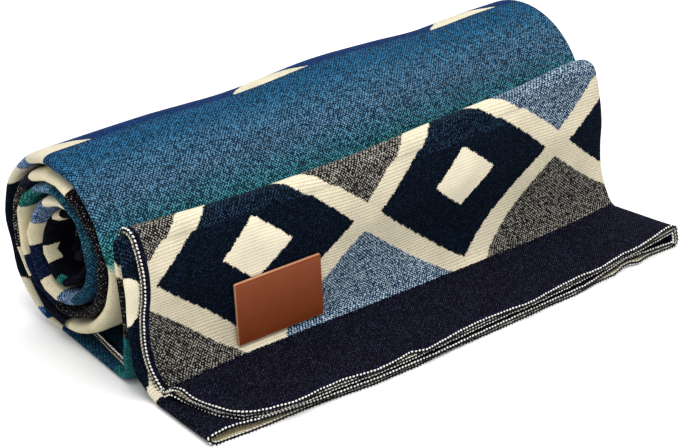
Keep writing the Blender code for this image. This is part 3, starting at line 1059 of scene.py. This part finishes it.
def stitch_tree(name, shape):
    """Instances one stitch at even steps along a path, standing on the attributes outward and upward."""
    tree = bpy.data.node_groups.new(name, "GeometryNodeTree")
    face = tree.interface
    face.new_socket("Geometry", in_out="INPUT", socket_type="NodeSocketGeometry")
    for label in ("Spacing", "Length", "Thickness", "Reach"):
        face.new_socket(label, in_out="INPUT", socket_type="NodeSocketFloat")
    face.new_socket("Seed", in_out="INPUT", socket_type="NodeSocketInt")
    face.new_socket("Material", in_out="INPUT", socket_type="NodeSocketMaterial")
    face.new_socket("Geometry", in_out="OUTPUT", socket_type="NodeSocketGeometry")
    new = functools.partial(add, tree)
    given = new("NodeGroupInput").node.outputs
    line = new("GeometryNodeMeshToCurve", {"Mesh": given["Geometry"]})
    steps = new("GeometryNodeResampleCurve", {"Curve": line, "Length": given["Spacing"]}, mode="LENGTH")
    outward = new("GeometryNodeInputNamedAttribute", {"Name": "outward"}, data_type="FLOAT_VECTOR")
    upward = new("GeometryNodeInputNamedAttribute", {"Name": "upward"}, data_type="FLOAT_VECTOR")
    stand = new(
        "FunctionNodeAxesToRotation", {"Primary Axis": upward, "Secondary Axis": outward},
        primary_axis="Z", secondary_axis="Y",
    )
    angles = new(
        "FunctionNodeRandomValue", {0: (-0.05, -0.05, 0.15), 1: (0.05, 0.05, 0.65), "Seed": given["Seed"]},
        data_type="FLOAT_VECTOR",
    )
    turn = new("FunctionNodeEulerToRotation", (angles,))
    turned = new("FunctionNodeRotateRotation", (stand, turn), rotation_space="LOCAL")
    size = new(
        "FunctionNodeRandomValue", {0: (0.85, 0.85, 0.85), 1: (1.15, 1.15, 1.15), "Seed": given["Seed"]},
        data_type="FLOAT_VECTOR",
    )
    stitch = new("GeometryNodeSetShadeSmooth", {"Geometry": shape(new, given)})
    placed = new(
        "GeometryNodeInstanceOnPoints",
        {"Points": steps, "Instance": stitch, "Rotation": turned, "Scale": size},
    )
    real = new("GeometryNodeRealizeInstances", (placed,))
    dressed = new("GeometryNodeSetMaterial", {"Geometry": real, "Material": given["Material"]})
    new("NodeGroupOutput", (dressed,))
    return tree


def bead_shape(new, given):
    """The needle thread's short stitches, one on each face of the cloth."""
    ball = new("GeometryNodeMeshIcoSphere", {"Radius": 0.5, "Subdivisions": 1})
    scale = new("ShaderNodeCombineXYZ", (given["Length"], given["Thickness"], given["Thickness"]))
    inset = calc(new, "MULTIPLY", given["Thickness"], -0.35)
    above = new("ShaderNodeCombineXYZ", (0.0, inset, given["Reach"]))
    lower = calc(new, "MULTIPLY", given["Reach"], -1.0)
    below = new("ShaderNodeCombineXYZ", (0.0, inset, lower))
    half = calc(new, "MULTIPLY", given["Thickness"], 0.55)
    thin = new("ShaderNodeCombineXYZ", (given["Length"], half, half))
    top = new("GeometryNodeTransform", {"Geometry": ball, "Translation": above, "Scale": scale})
    bottom = new("GeometryNodeTransform", {"Geometry": ball, "Translation": below, "Scale": thin})
    joined = new("GeometryNodeJoinGeometry", (top,))
    joined.node.id_data.links.new(bottom, joined.node.inputs[0])
    return joined


def wrap_shape(new, given):
    """The looper thread's wrap round the cut edge, halfway between two needle stitches."""
    swept = math.radians(WRAP_ARC)
    arc = new(
        "GeometryNodeCurveArc",
        {"Resolution": 6, "Radius": given["Reach"], "Start Angle": -swept / 2, "Sweep Angle": swept},
        mode="RADIUS",
    )
    half = calc(new, "MULTIPLY", given["Thickness"], 0.5)
    thread = new("GeometryNodeCurvePrimitiveCircle", {"Resolution": 4, "Radius": half}, mode="RADIUS")
    tube = new("GeometryNodeCurveToMesh", {"Curve": arc, "Profile Curve": thread, "Fill Caps": True})
    along = calc(new, "MULTIPLY", given["Spacing"], 0.5)
    place = new("ShaderNodeCombineXYZ", (along, -WRAP_BACK, 0.0))
    upright = (math.pi / 2, 0.0, math.pi / 2)
    return new("GeometryNodeTransform", {"Geometry": tube, "Translation": place, "Rotation": upright})


def edge_path(name, points, normals):
    """A line of mesh edges along the cloth's edge, with the ways out of the cloth and off its face."""
    mesh = bpy.data.meshes.new(name)
    count = len(points)
    mesh.from_pydata((points + TO_FRAME).tolist(), [(i, i + 1) for i in range(count - 1)], [])
    tangent = np.gradient(points, axis=0)
    outward = np.cross(tangent, normals)
    outward /= np.linalg.norm(outward, axis=1)[:, None] + 1e-12
    for label, values in (("outward", outward), ("upward", normals)):
        data = mesh.attributes.new(label, "FLOAT_VECTOR", "POINT")
        data.data.foreach_set("vector", values.astype(np.float32).ravel())
    return link(name, mesh)


def grid_normals(points):
    across, along = np.gradient(points, axis=1), np.gradient(points, axis=0)
    normals = np.cross(across, along)
    return normals / (np.linalg.norm(normals, axis=2)[:, :, None] + 1e-12)


def sew(name, path, tree, values, material):
    modifier = path.modifiers.new("stitches", "NODES")
    modifier.node_group = tree
    for item in tree.interface.items_tree:
        if item.in_out == "INPUT" and item.name in values:
            modifier[item.identifier] = values[item.name]
        elif item.in_out == "INPUT" and item.name == "Material":
            modifier[item.identifier] = material
    return as_plain_mesh(path, name)


# Settings


def length(name, description, default, **limits):
    """A size in metres for a settings group."""
    return FloatProperty(
        name=name, description=description, default=default,
        subtype="DISTANCE", unit="LENGTH", precision=4, **limits,
    )


class BlanketSettings(bpy.types.PropertyGroup):
    cloth: length("Cloth thickness", "Thickness of the knitted wool", 0.0018, min=0.001, max=0.003)


class OverlockSettings(bpy.types.PropertyGroup):
    spacing: length("Stitch spacing", "From one overlock stitch to the next", 0.0027, min=0.001, max=0.01)
    thread: length("Thread thickness", "Thickness of the overlock thread", 0.0012, min=0.0003, max=0.002)
    seed: IntProperty(name="Seed", description="Seed of the stitches' small differences", default=7, min=0)


class PatchSettings(bpy.types.PropertyGroup):
    width: length("Width", "Width of the leather patch", 0.072)
    height: length("Height", "Height of the leather patch", 0.046)
    corner: length("Corner radius", "Rounding of the patch's corners", 0.0012)


class StudioSettings(bpy.types.PropertyGroup):
    key: FloatProperty(
        name="Key light", description="Power of the large overhead light", default=21.5, min=0.0,
        subtype="POWER", unit="POWER",
    )
    floor: FloatVectorProperty(
        name="Floor", description="Colour of the floor", default=linear("#f6f6f6"), subtype="COLOR",
        min=0.0, max=1.0,
    )


# Operators


class BLANKET_OT_cloth(bpy.types.Operator):
    """Make the knitted cloth, folded in four and rolled"""

    bl_idname = "blanket.cloth"
    bl_label = "Cloth"

    def execute(self, context):
        settings = context.scene.blanket_settings
        stack = Stack(settings.cloth)
        points, flat, edge = sheet_points(stack)
        sheet = link("blanket_sheet", mesh_from_grid("blanket_sheet", points, flat, edge))
        for made in (
            wool_material("merino_jacquard_knit", stack),
            wool_material("merino_jacquard_knit_reverse", stack, reverse=True),
            thread_material("overlock_looper_thread", "#14141c"),
        ):
            sheet.data.materials.append(made)
        shell = sheet.modifiers.new("cloth", "SOLIDIFY")
        shell.thickness = settings.cloth
        shell.offset = 0.0
        shell.material_offset = 1
        shell.material_offset_rim = 2
        cloth = as_plain_mesh(sheet, "knitted_blanket")
        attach(cloth, "root")
        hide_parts("blanket")
        return {"FINISHED"}


class BLANKET_OT_overlock(bpy.types.Operator):
    """Sew the overlock stitches along the hem and both selvedges"""

    bl_idname = "blanket.overlock"
    bl_label = "Overlock"

    def execute(self, context):
        settings = context.scene.overlock_settings
        points = sheet_points(Stack(context.scene.blanket_settings.cloth))[0]
        normals = grid_normals(points)
        white = thread_material("overlock_needle_thread", "#faf8f1")
        black = thread_material("overlock_wrap_thread", "#0b0b12")
        beads = stitch_tree("overlock_needle_stitches", bead_shape)
        wraps = stitch_tree("overlock_wraps", wrap_shape)
        sides = {
            "hem": (points[0], normals[0]),
            "first_selvedge": (points[::-1, 0], normals[::-1, 0]),
            "second_selvedge": (points[:, -1], normals[:, -1]),
        }
        for side, (line, up) in sides.items():
            for kind, tree, thread, thick, reach in (
                ("needle", beads, white, NEEDLE_THICK, NEEDLE_REACH),
                ("wrap", wraps, black, WRAP_THICK, WRAP_REACH),
            ):
                values = {
                    "Spacing": settings.spacing,
                    "Length": NEEDLE_LENGTH,
                    "Thickness": thick * settings.thread,
                    "Reach": reach,
                    "Seed": settings.seed,
                }
                path = edge_path(f"{side}_path", line, up)
                made = sew(f"{side}_{kind}_stitches", path, tree, values, thread)
                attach(made, "root")
        return {"FINISHED"}


# The patch's section: distance in from its outline, height over its back
PATCH_SECTION = (
    (0.00010, 0.00000),
    (0.00000, 0.00010),
    (0.00000, 0.00165),
    (0.00008, 0.00184),
    (0.00022, 0.00196),
    (0.00060, 0.00204),
    (0.00150, 0.00206),
    (0.00185, 0.00196),
    (0.00230, 0.00206),
    (0.00400, 0.00206),
)
CUT_RINGS = 4


def patch_outline(settings, inset):
    """A rectangle with rounded corners in the patch's own plane, drawn in by inset."""
    corner = max(settings.corner - inset, 0.0001)
    wide, tall = settings.width / 2 - inset - corner, settings.height / 2 - inset - corner
    points = []
    for side_x, side_z, start in ((1, 1, 0), (-1, 1, 90), (-1, -1, 180), (1, -1, 270)):
        for step in range(CORNER_STEPS + 1):
            angle = math.radians(start + 90 / CORNER_STEPS * step)
            x = side_x * wide + corner * math.cos(angle)
            points.append((x, side_z * tall + corner * math.sin(angle)))
    return points


class BLANKET_OT_patch(bpy.types.Operator):
    """Make the leather patch, its face left bare"""

    bl_idname = "blanket.patch"
    bl_label = "Leather patch"

    def execute(self, context):
        settings = context.scene.patch_settings
        low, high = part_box("leather_patch")
        middle = (low + high) / 2
        turn = -math.atan(FLAP_SKEW / (FLAP_RIGHT - FLAP_LEFT))
        cos, sin = math.cos(turn), math.sin(turn)
        lower, upper = (-float(read_line(FOOT_LINE, z, 2)) for z in (low.z, high.z))
        rings = []
        for inset, depth in PATCH_SECTION:
            for x, z in patch_outline(settings, inset):
                lean = lower + (upper - lower) * (z / settings.height + 0.5)
                y = lean + PATCH_SUNK - depth
                rings.append((middle.x + cos * x - sin * y, middle.y + sin * x + cos * y, middle.z + z))
        count = len(patch_outline(settings, 0.0))
        faces = [tuple(range(count))]
        for ring in range(len(PATCH_SECTION) - 1):
            for at in range(count):
                near, far = ring * count + at, ring * count + (at + 1) % count
                faces.append((near, near + count, far + count, far))
        faces.append(tuple(reversed(range(len(rings) - count, len(rings)))))
        mesh = bpy.data.meshes.new("saddle_leather_patch")
        mesh.from_pydata(rings, [], faces)
        mesh.shade_smooth()
        for face in mesh.polygons:
            ring = (face.index - 1) // count
            face.material_index = 1 if 0 < face.index < len(faces) - 1 and ring < CUT_RINGS else 0
        mesh.materials.append(leather_material())
        mesh.materials.append(cut_edge_material())
        patch = link("saddle_leather_patch", mesh)
        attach(patch, "root")
        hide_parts("leather_patch")
        return {"FINISHED"}


class BLANKET_OT_studio(bpy.types.Operator):
    """Set the pale floor, the soft lights and the camera"""

    bl_idname = "blanket.studio"
    bl_label = "Studio"

    def execute(self, context):
        settings = context.scene.studio_settings
        scene = context.scene
        scene.view_settings.view_transform = "Standard"
        mesh = bpy.data.meshes.new("studio_floor")
        corners = [(x * FLOOR_HALF, y * FLOOR_HALF, 0) for x, y in ((-1, -1), (1, -1), (1, 1), (-1, 1))]
        mesh.from_pydata(corners, [], [(0, 1, 2, 3)])
        floor = link("studio_floor", mesh)
        paper = start_material("matt_white_paper")
        new = functools.partial(add, paper.node_tree)
        place = object_place(new)
        tone = remap(new, noise(new, place, 1.5), 0.3, 0.7, 0.99, 1.0)
        base = new("ShaderNodeVectorMath", {0: tuple(settings.floor), "Scale": tone}, operation="SCALE")
        finish_material(new, {"Base Color": base, "Roughness": 0.9, "Specular IOR Level": 0.1})
        mesh.materials.append(paper)

        world = scene.world or bpy.data.worlds.new("studio_room")
        scene.world = world
        world.use_nodes = True
        world.node_tree.nodes.clear()
        new = functools.partial(add, world.node_tree)
        sky = new("ShaderNodeBackground", {"Color": solid_colour("#ffffff"), "Strength": ROOM_LIGHT})
        new("ShaderNodeOutputWorld", (sky,))
        for name, place, aim, size, power in LIGHTS:
            data = bpy.data.lights.new(name, "AREA")
            data.size = size
            data.energy = settings.key * power
            light = bpy.data.objects.new(name, data)
            scene.collection.objects.link(light)
            light.location = place
            away = [a - b for a, b in zip(place, aim)]
            flat = math.hypot(away[0], away[1])
            light.rotation_euler = (math.atan2(flat, away[2]), 0.0, math.atan2(away[0], -away[1]))

        data = bpy.data.cameras.new("camera")
        data.sensor_width = SENSOR_WIDE
        data.lens = FOCAL_LENGTH / PHOTO_WIDE * SENSOR_WIDE
        camera = bpy.data.objects.new("camera", data)
        scene.collection.objects.link(camera)
        camera.location = [place + moved for place, moved in zip(CAMERA_PLACE, TO_FRAME)]
        camera.rotation_euler = (math.radians(90 - CAMERA_ABOVE), 0.0, math.radians(CAMERA_TURN))
        scene.camera = camera
        return {"FINISHED"}


class BLANKET_PT_panel(bpy.types.Panel):
    """Lists the pieces and their sizes in the sidebar"""

    bl_label = "Rolled blanket"
    bl_idname = "BLANKET_PT_panel"
    bl_space_type = "VIEW_3D"
    bl_region_type = "UI"
    bl_category = "Blanket"

    def draw(self, context):
        scene = context.scene
        for operator, settings, names in (
            ("blanket.cloth", scene.blanket_settings, ("cloth",)),
            ("blanket.overlock", scene.overlock_settings, ("spacing", "thread", "seed")),
            ("blanket.patch", scene.patch_settings, ("width", "height", "corner")),
            ("blanket.studio", scene.studio_settings, ("key", "floor")),
        ):
            box = self.layout.box()
            for name in names:
                box.prop(settings, name)
            box.operator(operator)


CLASSES = (
    BlanketSettings,
    OverlockSettings,
    PatchSettings,
    StudioSettings,
    BLANKET_OT_cloth,
    BLANKET_OT_overlock,
    BLANKET_OT_patch,
    BLANKET_OT_studio,
    BLANKET_PT_panel,
)


def register():
    for made in CLASSES:
        bpy.utils.register_class(made)
    bpy.types.Scene.blanket_settings = PointerProperty(type=BlanketSettings)
    bpy.types.Scene.overlock_settings = PointerProperty(type=OverlockSettings)
    bpy.types.Scene.patch_settings = PointerProperty(type=PatchSettings)
    bpy.types.Scene.studio_settings = PointerProperty(type=StudioSettings)


def unregister():
    for name in ("blanket_settings", "overlock_settings", "patch_settings", "studio_settings"):
        delattr(bpy.types.Scene, name)
    for made in reversed(CLASSES):
        bpy.utils.unregister_class(made)


def main():
    register()
    bpy.ops.blanket.cloth()
    bpy.ops.blanket.overlock()
    bpy.ops.blanket.patch()
    bpy.ops.blanket.studio()


if __name__ == "__main__":
    main()
